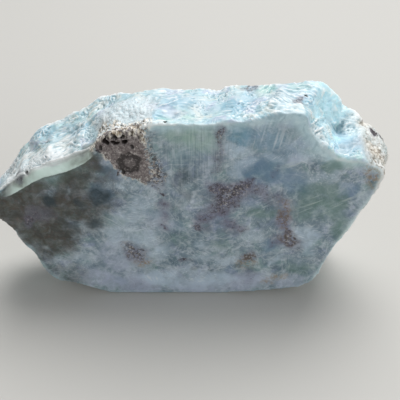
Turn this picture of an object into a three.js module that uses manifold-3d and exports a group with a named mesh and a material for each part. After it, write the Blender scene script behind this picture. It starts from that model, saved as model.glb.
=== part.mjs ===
// A slab of raw larimar that stands on its long lower edge. One face is sawn, the rest broken or weathered.
// Millimetres, +Z up, the sawn face looking along -Y. The origin is the bottom centre of the stone's box.
import * as THREE from "three";
import { ImprovedNoise } from "three/addons/math/ImprovedNoise.js";
import { mergeVertices } from "three/addons/utils/BufferGeometryUtils.js";
import Module from "manifold-3d";

// Driving dimensions, in the stone's working frame: x along the slab, y back from the sawn face, z up from
// the surface that it stands on.
const THICKNESS = 25.5; // sawn face to the thickest part of the back
const MID_HEIGHT = 27; // of the back's thickest part

// Grid, about 2 mm between neighbouring points.
const POINTS_AROUND = 160;
const RINGS_ACROSS_RIM = 14;
const BLOCK = { width: 116, height: 70, cell: 2 }; // the block whose far side is the back
const STRAY = { height: 0.6, size: [1.7, 1.7, 1.7], shifts: [1.3, 6.7] }; // points stray, so no rows show

// Relief of the broken surfaces: how far it stands out, and the distance between its bumps along x, y, z.
const SWELLS = { height: 0.5, size: [14, 12, 14], shift: 3.7 };
const LUMPS = { height: 0.3, size: [6, 5, 6], shift: 8.1 };
const LEDGES = { height: 0.5, size: [26, 8, 14], shift: 5.3, steps: 2, riser: [0.35, 0.65] };
const CHIPS = { height: 0.9, radius: 6.3, count: 420, seed: 11 }; // shallow bowls that meet in sharp ridges
const CHIP_LEVEL = { middle: 0.5, most: 1.5 }; // in squares of the radius, from a bowl's floor
const CHIP_BOX = { from: [-54, -4, -4], to: [52, 30, 60] };
const FACE_MARGIN = 5; // the relief grows over this depth behind the sawn face

// Stations round the rim, from the left tip over the top, clockwise as seen from the front. Each is a rib:
// face is the x, z where it leaves the sawn face, back is the x, y, z that it runs to, and crown is a third
// point between them, as a share of the way across and a height above the straight line.
const STATIONS = [
  { face: [-50.4, 32.7], back: [-52.4, 9, 25.2], crown: [0.4, 0.4] }, // left tip
  { face: [-44.5, 34.8], back: [-47.5, 11, 34.9], crown: [0.2, 1.5] },
  { face: [-37.8, 39.2], back: [-40.4, 14.5, 42], crown: [0.17, 1.7] },
  { face: [-30.3, 41.8], back: [-31.2, 17, 45.2], crown: [0.17, 1.6] },
  { face: [-24.6, 45.7], back: [-25.8, 17, 48.1], crown: [0.25, 1] },
  { face: [-20.9, 51], back: [-21.4, 17, 50.6], crown: [0.4, 0.6] }, // shoulder above the matrix
  { face: [-14.9, 52.3], back: [-15.9, 17, 52.8], crown: [0.5, 0.7] },
  { face: [-12.1, 54], back: [-12.9, 17, 52.8], crown: [0.5, 0.2] }, // step up to the flat top
  { face: [-6.5, 54.3], back: [-7.2, 17, 53.4], crown: [0.5, 0] },
  { face: [3.5, 54.4], back: [4.2, 17, 52.9], crown: [0.5, 0.2] },
  { face: [10.8, 55.1], back: [8.6, 17.5, 55], crown: [0.5, 0.4] },
  { face: [21.2, 57.1], back: [22, 17.5, 56.1], crown: [0.5, 0.6] }, // highest point
  { face: [23.6, 55.4], back: [28.2, 17.5, 55.3], crown: [0.5, 0.2] },
  { face: [24.4, 52.4], back: [32, 17.5, 52.9], crown: [0.5, -1.8] }, // scoop
  { face: [31, 45.1], back: [36.6, 17.5, 49.5], crown: [0.45, -1.6] },
  { face: [36.8, 44.3], back: [43, 17, 46.2], crown: [0.5, 0.2] },
  { face: [42.4, 41.1], back: [45.9, 16, 39], crown: [0.5, 0.4] }, // right end
  { face: [41.4, 34.6], back: [46.4, 15.5, 30], crown: [0.5, 0.6] },
  { face: [37.4, 25.3], back: [40.8, 17, 18], crown: [0.5, 0.7] },
  { face: [32.5, 11.8], back: [35.5, 18, 8], crown: [0.5, 0.8] },
  { face: [29.8, 4.4], back: [29.5, 19, 1.4], crown: [0.5, 0.4] }, // right foot
  { face: [19, 1], back: [18, 19.5, -0.8], crown: [0.5, 0] },
  { face: [-5, -0.4], back: [-5, 20, -0.8], crown: [0.5, 0] },
  { face: [-22, -0.1], back: [-24, 19.5, -0.8], crown: [0.5, 0] },
  { face: [-33.2, 3.9], back: [-35, 18, 2.2], crown: [0.5, 0.4] }, // left foot
  { face: [-38.3, 6.2], back: [-41.5, 16, 6.8], crown: [0.5, 0.6] },
  { face: [-43.4, 18], back: [-47, 12, 16], crown: [0.5, 0.8] },
];
const RIB_END = 1.75; // the ribs run on past the back, which is carved afterwards
const RIM_POINT = new THREE.Vector3(0, 2 * THICKNESS, MID_HEIGHT); // far behind, where the rim's body ends

// Cleavage planes of the weathered back: a point on each, and how much deeper the plane gets for each
// millimetre along x and z. The stone ends at whichever plane comes first.
const BACK_PLANES = [
  { at: [0, THICKNESS, MID_HEIGHT], slope: [0.02, -0.03] },
  { at: [-3, 17, 52.5], slope: [-0.03, -0.4] }, // upper
  { at: [25, 17.5, 53], slope: [-0.38, -0.46] }, // upper right
  { at: [-47.5, 12, 35], slope: [0.42, -0.16] }, // upper left
  { at: [44, 16, 31], slope: [-0.68, 0.06] }, // right end
  { at: [0, 19.5, 0], slope: [0.05, 0.4] }, // lower
  { at: [-41.5, 15.5, 7], slope: [0.36, 0.24] }, // lower left
];

// Places where the broken surface sinks in: centre, radius, depth.
const DENTS = [
  { at: [-25, 6, 48.5], radius: 4, depth: 1.3 }, // crease below the shoulder
  { at: [-35, 8, 43], radius: 6, depth: -0.6 }, // lump on the left slope
  { at: [-44, 6, 36], radius: 4, depth: 0.8 },
  { at: [33.6, 9, 45.4], radius: 4, depth: 1.2 }, // foot of the scoop
  { at: [28, 9, 51], radius: 6, depth: 0.8 },
  { at: [43, 9, 41], radius: 5, depth: -0.7 }, // crust on the right end
];

// Open vugs: the middle of each mouth, the way it runs in, its radius and its depth.
const BACKWARD = new THREE.Vector3(0, 1, 0);
const DOWNWARD = new THREE.Vector3(0, 0, -1);
const VUGS = [
  { at: [-20, 0, 50.4], inward: BACKWARD, radius: 0.9, depth: 1.2 }, // a row in the matrix, by its edge
  { at: [-18.2, 0, 50.3], inward: BACKWARD, radius: 0.9, depth: 1.3 },
  { at: [-16.3, 0, 50.9], inward: BACKWARD, radius: 1, depth: 1.4 },
  { at: [-14.8, 0, 50.4], inward: BACKWARD, radius: 0.8, depth: 1 },
  { at: [-16.4, 0, 43.9], inward: BACKWARD, radius: 2.4, depth: 0.6 }, // vesicle
  { at: [-40.4, 1.8, 39.7], inward: DOWNWARD, radius: 0.7, depth: 1.2 }, // left bevel
  { at: [24.3, 9.2, 55.8], inward: DOWNWARD, radius: 0.8, depth: 1.2 }, // top right
];
const VUG_DETAIL = 1; // times that each ball's faces are divided

const NOISE_GAIN = 1.6; // brings the noise to about -1 to 1

const { smoothstep, seededRandom, lerp } = THREE.MathUtils;
const noise = new ImprovedNoise();
const vector = (x, y, z) => new THREE.Vector3(x, y, z);

// Smooth random bumps, about -1 to 1, size millimetres apart along x, y and z.
function waves(p, { size, shift }) {
  return NOISE_GAIN * noise.noise(...p.toArray().map((along, axis) => along / size[axis] + shift));
}

// A small random step to one side along x and z.
function stray(p) {
  const [x, z] = STRAY.shifts.map((shift) => STRAY.height * waves(p, { size: STRAY.size, shift }));
  return vector(x, 0, z);
}

// Points strewn through the stone's box. Round each lies one chip of the broken surface.
seededRandom(CHIPS.seed);
const chipCentres = Array.from({ length: CHIPS.count }, () =>
  vector(...CHIP_BOX.from.map((low, axis) => lerp(low, CHIP_BOX.to[axis], seededRandom()))),
);

// How far the broken surface stands out at a point.
function relief(p) {
  const swell = SWELLS.height * waves(p, SWELLS);
  const lump = LUMPS.height * waves(p, LUMPS);
  const level = LEDGES.steps * waves(p, LEDGES);
  const step = Math.floor(level);
  const ledge = LEDGES.height * (step + smoothstep(level - step, ...LEDGES.riser));
  const nearest = Math.min(...chipCentres.map((centre) => centre.distanceToSquared(p)));
  const chip = CHIPS.height * (Math.min(nearest / CHIPS.radius ** 2, CHIP_LEVEL.most) - CHIP_LEVEL.middle);
  return DENTS.reduce((sum, dent) => {
    const share = 1 - smoothstep(p.distanceTo(vector(...dent.at)), 0, dent.radius);
    return sum - dent.depth * share;
  }, swell + lump + ledge + chip);
}

// Three closed curves run round the rim: along the sawn face, over the crowns and along the back.
function rimCurves() {
  const face = STATIONS.map((s) => vector(s.face[0], 0, s.face[1]));
  const back = STATIONS.map((s) => vector(...s.back));
  const crown = STATIONS.map((s, i) => {
    const along = face.at((i + 1) % face.length).clone().sub(face.at(i - 1));
    const outward = vector(-along.z, 0, along.x).normalize();
    return face[i].clone().lerp(back[i], s.crown[0]).addScaledVector(outward, s.crown[1]);
  });
  return [face, crown, back].map((points) => new THREE.CatmullRomCurve3(points, true, "centripetal"));
}

// Rings of points from the edge of the sawn face to well behind the back.
function rings() {
  const [face, crown, back] = rimCurves();
  const loops = Array.from({ length: RINGS_ACROSS_RIM + 1 }, () => []);
  for (let i = 0; i < POINTS_AROUND; i++) {
    const t = crown.getUtoTmapping(i / POINTS_AROUND);
    const [start, middle, end] = [face, crown, back].map((curve) => curve.getPoint(t));
    const beyond = start.clone().lerp(end, RIB_END);
    const rib = new THREE.CatmullRomCurve3([start, middle, end, beyond]);
    loops.forEach((ring, r) => ring.push(rib.getPointAt(r / RINGS_ACROSS_RIM)));
  }
  return loops;
}

// The rim as a closed body: flat in front, coming to a point behind, and rough on all but its first ring.
function rim() {
  const loops = rings();
  const index = [];
  loops.slice(1).forEach((_, r) => {
    for (let i = 0; i < POINTS_AROUND; i++) {
      const a = r * POINTS_AROUND + i;
      const b = r * POINTS_AROUND + ((i + 1) % POINTS_AROUND);
      index.push(a, b, b + POINTS_AROUND, a, b + POINTS_AROUND, a + POINTS_AROUND);
    }
  });
  const geometry = new THREE.BufferGeometry().setFromPoints([...loops.flat(), RIM_POINT]);
  geometry.setIndex(index);
  geometry.computeVertexNormals();
  roughen(geometry);

  const outline = loops[0].map((p) => new THREE.Vector2(p.x, p.z)).reverse();
  const face = THREE.ShapeUtils.triangulateShape(outline, []).flat();
  index.push(...face.map((i) => POINTS_AROUND - 1 - i));
  const last = RINGS_ACROSS_RIM * POINTS_AROUND;
  for (let i = 0; i < POINTS_AROUND; i++) {
    index.push(last + i, last + ((i + 1) % POINTS_AROUND), last + POINTS_AROUND);
  }
  geometry.setIndex(index);
  return geometry;
}

// Pushes every point out or in along its normal by the relief there, less and less towards the sawn face.
function roughen(geometry) {
  const { position, normal } = geometry.attributes;
  for (let i = 0; i < position.count; i++) {
    const p = vector().fromBufferAttribute(position, i);
    const n = vector().fromBufferAttribute(normal, i);
    const share = smoothstep(p.y, 0, FACE_MARGIN);
    p.addScaledVector(n, share * relief(p)).addScaledVector(stray(p), share);
    position.setXYZ(i, ...p);
  }
}

// Depth of the back at x, z, before its relief.
function backDepth(x, z) {
  const depths = BACK_PLANES.map(({ at, slope }) => at[1] + slope[0] * (x - at[0]) + slope[1] * (z - at[2]));
  return Math.min(...depths);
}

// A block that starts in front of the sawn face and ends in the stone's weathered back.
function backBlock() {
  const { width, height, cell } = BLOCK;
  const depth = 2 * THICKNESS;
  const geometry = new THREE.BoxGeometry(width, depth, height, width / cell, 1, height / cell);
  geometry.translate(0, 0, MID_HEIGHT);
  const { position } = geometry.attributes;
  for (let i = 0; i < position.count; i++) {
    const p = vector().fromBufferAttribute(position, i);
    if (p.y < 0) continue;
    p.add(stray(p)).setY(backDepth(p.x, p.z));
    position.setXYZ(i, p.x, p.y + relief(p), p.z);
  }
  return geometry;
}

const wasm = await Module();
wasm.setup();

// A closed geometry as a solid for cutting, and a cut solid back as a geometry.
function solid(geometry) {
  geometry.deleteAttribute("normal");
  geometry.deleteAttribute("uv");
  const merged = mergeVertices(geometry, 1e-4);
  const mesh = new wasm.Mesh({
    numProp: 3,
    vertProperties: merged.attributes.position.array,
    triVerts: new Uint32Array(merged.index.array),
  });
  return new wasm.Manifold(mesh);
}

function geometryOf(manifold) {
  const mesh = manifold.getMesh();
  const geometry = new THREE.BufferGeometry();
  geometry.setAttribute("position", new THREE.BufferAttribute(mesh.vertProperties, 3));
  geometry.setIndex(new THREE.BufferAttribute(mesh.triVerts, 1));
  return geometry;
}

// What lies below the surface that the stone stands on.
function ground() {
  const size = 2 * BLOCK.width;
  return new THREE.BoxGeometry(size, size, size).translate(0, 0, -size / 2);
}

// The ball that cuts a vug: its size and how far it stands out give the vug's radius and depth.
function vugBall({ at, inward, radius, depth }) {
  const ball = (radius ** 2 + depth ** 2) / (2 * depth);
  const centre = vector(...at).addScaledVector(inward, depth - ball);
  return new THREE.IcosahedronGeometry(ball, VUG_DETAIL).translate(...centre);
}

function stone() {
  let carved = solid(rim()).intersect(solid(backBlock())).subtract(solid(ground()));
  for (const vug of VUGS) carved = carved.subtract(solid(vugBall(vug)));
  const geometry = geometryOf(carved);
  geometry.computeBoundingBox();
  const { min, max } = geometry.boundingBox;
  geometry.translate(-(min.x + max.x) / 2, -(min.y + max.y) / 2, -min.z);
  return geometry;
}

const larimar = new THREE.Mesh(
  stone(),
  new THREE.MeshStandardMaterial({ color: "#a9c7cc", roughness: 0.55, metalness: 0, flatShading: true }),
);
larimar.name = "larimar";

const part = new THREE.Group();
part.add(larimar);

export default part;
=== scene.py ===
# A slab of raw larimar: blue pectolite grown through brown basalt, sawn flat in front, broken along the top
# and weathered behind. Places and sizes are millimetres: x along the slab, y back from the sawn face, z up.
import itertools
import math

import bmesh
import bpy
import numpy as np
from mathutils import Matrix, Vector


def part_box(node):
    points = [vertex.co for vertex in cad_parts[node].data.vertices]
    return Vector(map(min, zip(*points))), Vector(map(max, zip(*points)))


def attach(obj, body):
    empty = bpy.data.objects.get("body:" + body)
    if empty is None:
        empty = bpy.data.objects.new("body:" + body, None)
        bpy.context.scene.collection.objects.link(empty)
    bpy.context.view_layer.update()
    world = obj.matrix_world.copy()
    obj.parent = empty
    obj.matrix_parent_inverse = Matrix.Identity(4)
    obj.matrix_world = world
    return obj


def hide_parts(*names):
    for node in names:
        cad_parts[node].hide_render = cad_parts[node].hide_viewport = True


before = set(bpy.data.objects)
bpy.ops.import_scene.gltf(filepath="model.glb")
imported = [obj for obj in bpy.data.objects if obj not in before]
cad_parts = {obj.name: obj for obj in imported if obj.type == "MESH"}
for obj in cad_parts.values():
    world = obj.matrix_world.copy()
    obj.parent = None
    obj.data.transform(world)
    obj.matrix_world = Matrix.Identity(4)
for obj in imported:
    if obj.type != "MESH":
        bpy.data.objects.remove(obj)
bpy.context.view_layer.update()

MM = 0.001
SEED = 5
LOW, HIGH = (np.array(corner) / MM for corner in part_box("larimar"))
ORIGIN = np.array((3.61, LOW[1], 0))  # where the places below start, in the part's own frame

# The fine mesh that the solid is turned into before its relief is cut.
VOXEL = 0.53  # and half of that where the stone is broken
BROKEN_FROM = 30  # z, above which the slab's edge is broken
# Where the squares are smaller: how far the surface looks up and how little back, how deep it lies in the
# crust and in the basalt, and how far around the basalt.
FINE = {"up": 0.15, "back": 0.5, "crust depth": 0.5, "basalt depth": 2, "around": 1}
ROUNDING = {"rounds": 12, "share": 0.6}  # smoothing that melts the solid's facets
# The sawn face and the foot, which are kept flat: how near and how square to them the mesh counts as theirs,
# and how far from them it moves freely.
FLATS = {"within": 0.15, "square": -0.8, "free": 0.5}
FILLED = {"depth": 2.2, "around": 0.5, "up": 0.5}  # the solid's coarse vugs, filled before finer ones are cut

# Relief of the broken surface. Pectolite grows in fans of fibres, and a break follows them in splinters.
# Each fan breaks in a shallow bowl, which rises at most so far. Its root may lie a margin outside the stone.
FANS = {"count": 620, "margin": 3, "height": 0.5, "radius": 4.5, "rise": 1.5, "tones": 17}
LEAN = np.array((12, 5, 5))  # about how far off the fibres of a fan meet
FAN_SHIFT = 3.7  # sets each fan's fibres apart from the next one's
SEAM = {"splinters": (0, 1), "lines": (0.3, 1.1)}  # how far from a fan's seam each starts and is full
SPLINTERS = [
    {"height": 0.2, "across": 13, "length": 9},
    {"height": 0.11, "across": 28, "length": 4},
]
SHARP = {"crest": 0.6, "fall": 2.4}  # a splinter's top and how steep it is, in its heights
STREAKS = {"across": 36, "length": 4}  # the fibres that show as fine lines
LUMPS = {"height": 0.12, "size": 4.2}
GRAIN = {"height": 0.05, "size": 0.8}
LEDGES = {"height": 0.16, "size": np.array((9, 2.6, 5)), "steps": 2.2, "riser": (0.45, 0.85)}
FROSTED_FLATTER = 0.3  # share of the relief that is missing where the break is frosted
CRYSTALS = {"height": 0.26, "size": 0.8}
TEETH = {"height": 0.6, "size": np.array((0.7, 0.9, 1.2))}
RIND = {"height": 0.35, "size": 2.1}
RIND_GRAIN = {"height": 0.3, "size": 0.8}
RIND_PATCH = {"size": 9, "shift": 3.3, "levels": (-0.3, 0.25)}  # worn smooth in places, coarse in others
RIND_WORN = 0.25  # share of the rind's relief that is left where it is worn smooth
RIND_SWELLS = [(0.45, 10), (0.3, 4.5)]  # height and size
RIND_FACING = (0.35, 0.7)  # how far the surface looks back where the rind starts and is full
BASALT_GRAIN = {"height": 0.06, "size": 0.7}
BLUNT = {"ridge_and_hollow_shade": 3, "crest": 12}  # rounds of blur that small and large edges are measured against
STANDS_FULL = 4  # so that an edge that stands out by a quarter of a millimetre counts as 1
FROST = 0.35  # share of the finest relief where the stone is neither crystals nor rind
SAWN_SMOOTH = 0.85  # share of it that the saw took away
# Crust of the right end: the x where it starts and is full, the size of its ragged edge, and the z where it
# starts to be coarse and is.
CRUST = {"x": (37, 39.5), "ragged": 3, "coarse z": (28, 36)}
# Smooth strip along the left half of the sawn edge: its depth, soft edge and straying, the x and z where it
# starts and is full, the x where its paint does and the depths where its mint part does.
BEVEL = {
    "depth": 1.7, "soft": 0.3, "stray": (0.25, 2.4),
    "x": (-23.8, -25.3), "z": (31, 33), "painted x": (-47, -43), "mint": (1.7, 1),
}
LIP = {"height": 0.3, "width": 0.45, "above": 0.4, "bright": 0.8}  # thin ridge along the top of the bevel; bright is how strong its painted highlight is
FOOT_RELIEF = (0, 1.5)  # z, where the relief starts and is full
# Depths behind the sawn face where each thing starts and is full.
DEPTHS = {
    "face": (0.12, 0.02),
    "relief": (0.02, 0.6),
    "crust": (0.05, 0.5),
    "teeth": (0, 0.4),
    "forwards": (0, 0.8),  # relief that moves the surface along y
    "shading": (0.4, 1.2),  # pale edges, partly painted highlight, and dark hollows of painted shade
    "rind": (0.6, 2),
}

# -------- random fields
chance = np.random.default_rng(SEED)
CELLS = 256  # kinds of cell that the fields are made of
SHUFFLE = chance.permutation(CELLS)
ARROWS = chance.normal(size=(CELLS, 3))
ARROWS /= np.linalg.norm(ARROWS, axis=1, keepdims=True)


BUMP_HEIGHT = 1.7  # brings the hills and hollows to about 1
GRAIN_JITTER = 0.4  # how far a grain strays from the middle of its cell, in cells
GRAIN_STEEP = 1.6


def cell_number(cells):
    """A random kind for each cell of a grid."""
    x, y, z = (cells % CELLS).T
    return SHUFFLE[(SHUFFLE[(SHUFFLE[x] + y) % CELLS] + z) % CELLS]


def bumps(places, size, shift=0.0):
    """Smooth hills and hollows, about -1 to 1, that lie size apart."""
    grid = places / size + shift
    cells = np.floor(grid).astype(int)
    within = grid - cells
    fade = within**3 * (within * (within * 6 - 15) + 10)
    total = np.zeros(len(places))
    for corner in itertools.product((0, 1), repeat=3):
        weight = np.prod(np.where(corner, fade, 1 - fade), axis=1)
        arrows = ARROWS[cell_number(cells + corner)]
        total += weight * np.einsum("ij,ij->i", arrows, within - corner)
    return BUMP_HEIGHT * total


def grains(places, size, shift=0.0):
    """Round grains size across: 1 in the middle of each, and near 0 between them."""
    grid = places / size + shift
    cells = np.floor(grid).astype(int)
    nearest = np.full(len(places), np.inf)
    for corner in itertools.product((-1, 0, 1), repeat=3):
        middle = cells + corner + 0.5 + GRAIN_JITTER * ARROWS[cell_number(cells + corner)]
        nearest = np.minimum(nearest, np.sum((grid - middle) ** 2, axis=1))
    return np.clip(1 - GRAIN_STEEP * nearest, 0, 1)


def ramp(values, start, end):
    """0 up to start, 1 from end, and smooth between them. start may be the larger."""
    share = np.clip((values - start) / (end - start), 0, 1)
    return share * share * (3 - 2 * share)


# -------- what grew where
# Outline of the basalt that the saw cut through: x and z, from its left corner down and round to the top.
BASALT_OUTLINE = [
    (-23.8, 48.4), (-22.4, 47), (-20.7, 44), (-19.1, 41.8), (-17.1, 39.8), (-14.5, 38.9), (-12.6, 38.2),
    (-11, 40.6), (-11.4, 44.6), (-12.4, 48.6), (-12.4, 53.6), (-16.6, 53.6), (-21.2, 52), (-23, 50.2),
]
BASALT_DEPTH = 1.6
BASALT_END = 2  # how steeply the basalt ends below that depth
# Open holes in the basalt: how much taller than wide and how ragged they are, and where in their radii the
# pit and its painted shade start and are full.
VUG = {"tall": 1.7, "ragged": (0.5, 0.8), "pit": (1.1, 0.5), "paint": (1.15, 0.75)}
VUGS = [  # x, z, radius, depth
    (-20.9, 49.9, 0.75, 1.7), (-18.9, 49.8, 0.85, 2), (-16.8, 50, 0.75, 1.8), (-15, 51.6, 0.4, 0.9),
    (-13.4, 50.7, 0.35, 0.8), (-15.2, 48.1, 0.35, 0.6), (-22.2, 47.7, 0.35, 0.5), (-17.7, 41, 0.4, 0.5),
]
# A gas bubble, filled and cut across. In radii: where its dark ring lies and how far from there it starts and
# is full, and where the middle does, which is less deep.
VESICLE = {
    "at": (-16.1, 43.7), "radius": 2.45, "depth": 0.35, "ragged": (0.25, 1.2),
    "ring": 0.82, "ring edge": (0.42, 0.16), "middle": 0.4, "middle edge": (1, 0.6),
}
PIT_EDGE = (1.2, 0.3)  # in radii, where a pit starts and is full
PITS = [  # small holes in the broken surface, darkened with painted shade: place, radius, depth
    ((-40.6, 2.3, 39.3), 0.6, 1),
    ((24, 8.7, 56.1), 0.5, 0.8),
    ((-7.6, 0.9, 54.2), 0.5, 0.6),
]
CREASES = [  # grooves in the broken surface: two ends, half-width, depth
    ((-26.1, 9.6, 48), (-24.6, 10.4, 49.7), 0.9, 0.8),
    ((-34.5, 10.2, 44.7), (-33.9, 14, 45.7), 0.8, 0.6),
    ((-36.9, 13.8, 44.2), (-35.8, 15, 45.4), 0.7, 0.5),
    ((-45.5, 8.2, 36.1), (-44.5, 10.9, 38.1), 0.8, 0.7),
    ((33.2, 10.3, 45.5), (34.2, 13.1, 46.5), 1.1, 0.7),
]
RIDGES = [  # bright splinter edges: two ends, half-width, height
    ((-33.8, 6.1, 44.2), (-30.1, 5.8, 45.1), 0.5, 0.35),
    ((-30.1, 5.8, 45.1), (-27.1, 3.4, 45.6), 0.5, 0.35),
    ((-27.1, 3.4, 45.6), (-25.5, 4.1, 46.2), 0.5, 0.35),
    ((-12, 1.9, 54), (-11.4, 0.6, 54), 0.45, 0.5),
    ((-11.4, 0.6, 54), (-7, 0.5, 54.4), 0.45, 0.5),
    ((-7, 0.5, 54.4), (-5.6, 1, 54.5), 0.45, 0.4),
    ((-11.1, 5, 54.1), (-5, 8.5, 54.6), 0.4, 0.25),
    ((-9.8, 6.9, 54.3), (-2.8, 11.5, 54.3), 0.4, 0.25),
    ((24.2, 0.8, 53.7), (28.5, 9.7, 50), 0.5, 0.4),
    ((25.6, 1.5, 51.5), (32.2, 11.7, 47.4), 0.5, 0.4),
    ((14.3, 9.9, 55), (21.2, 8.5, 56.5), 0.4, 0.25),
    ((12.8, 6.1, 55.4), (20.8, 4.1, 57), 0.4, 0.25),
]
# Painted rim light where the thin edge of the sawn face lets light through: two ends, reach and how bright.
PAINTED_RIM_LIGHTS = [
    ((-12, 0, 54), (-6, 0, 54.6), 2.5, 1),
    ((-6, 0, 54.3), (6.8, 0, 54.6), 2.5, 0.5),
    ((24.4, 0, 52.6), (27, 0, 49), 2.5, 0.15),
    ((27, 0, 49), (31, 0, 45.1), 2.5, 0.3),
    ((31, 0, 45.1), (42.4, 0, 41), 2.2, 0.6),
    ((42.4, 0, 41), (42.2, 0, 36), 2.5, 0.9),
    ((42.2, 0, 36), (32.4, 0, 11.6), 2, 0.5),
    ((32.4, 0, 11.6), (29.8, 0, 4.4), 2, 0.3),
    ((-38.4, 0, 6), (-22, 0, 0), 2, 0.2),
]
PAINTED_GLOWS = [  # painted glow of light spread into the sawn face from its thin edge: two ends, reach and how bright
    ((-12.5, 0, 53.2), (-6, 0, 53.6), 2.6, 0.9),
    ((-6, 0, 53.6), (6, 0, 54), 2.8, 0.7),
    ((6, 0, 54.4), (14, 0, 55.6), 3.6, 0.9),
    ((13, 0, 56), (20, 0, 57), 5, 1),
    ((20, 0, 57), (24.4, 0, 53.6), 6.4, 1),
    ((24.4, 0, 53), (27, 0, 49), 6.4, 1),
    ((27, 0, 49), (31, 0, 45.3), 5.4, 1),
    ((31, 0, 45.3), (41, 0, 41.8), 2.8, 0.6),
]
# Rounds of blur that turn the sawn face's outline into its painted rim light, the bevel's foot and the
# painted paler edge.
GLOW = {"rim": 2, "foot": 6, "edge": 14}
EDGE_SHIFTS = [  # where the break stands out or sinks a little more than in the solid: place, reach and shift
    ((-38.6, 12.4, 42.6), 4.5, (-1.5, 0, 0.7)),
    ((-35.4, 15.8, 45.8), 5, (0.5, 0, -1.3)),
    ((-6.4, 15, 55.6), 6, (0, 0, -1)),
    ((-21, 14, 50.4), 5, (0, 0, -0.8)),
]
TOOTH_LINE = [  # crystals that stand along the top of the basalt: two ends, reach and how strong
    ((-22.6, 4.4, 50), (-19.8, 3.4, 51.6), 2.6, 1),
    ((-19.8, 3.2, 51.7), (-17.3, 1.8, 52.2), 2.6, 1),
    ((-17.3, 1.8, 52.2), (-12.1, 1.2, 53.8), 2.4, 1),
    ((-22.2, 0, 51), (-12.6, 0, 52.4), 1.6, 0.9),
    ((-24.2, 1.6, 47), (-21.6, 1.7, 50.2), 1.8, 1),
    ((-13, 0, 53.4), (-12.6, 0, 49.6), 1.1, 0.6),
]
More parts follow.
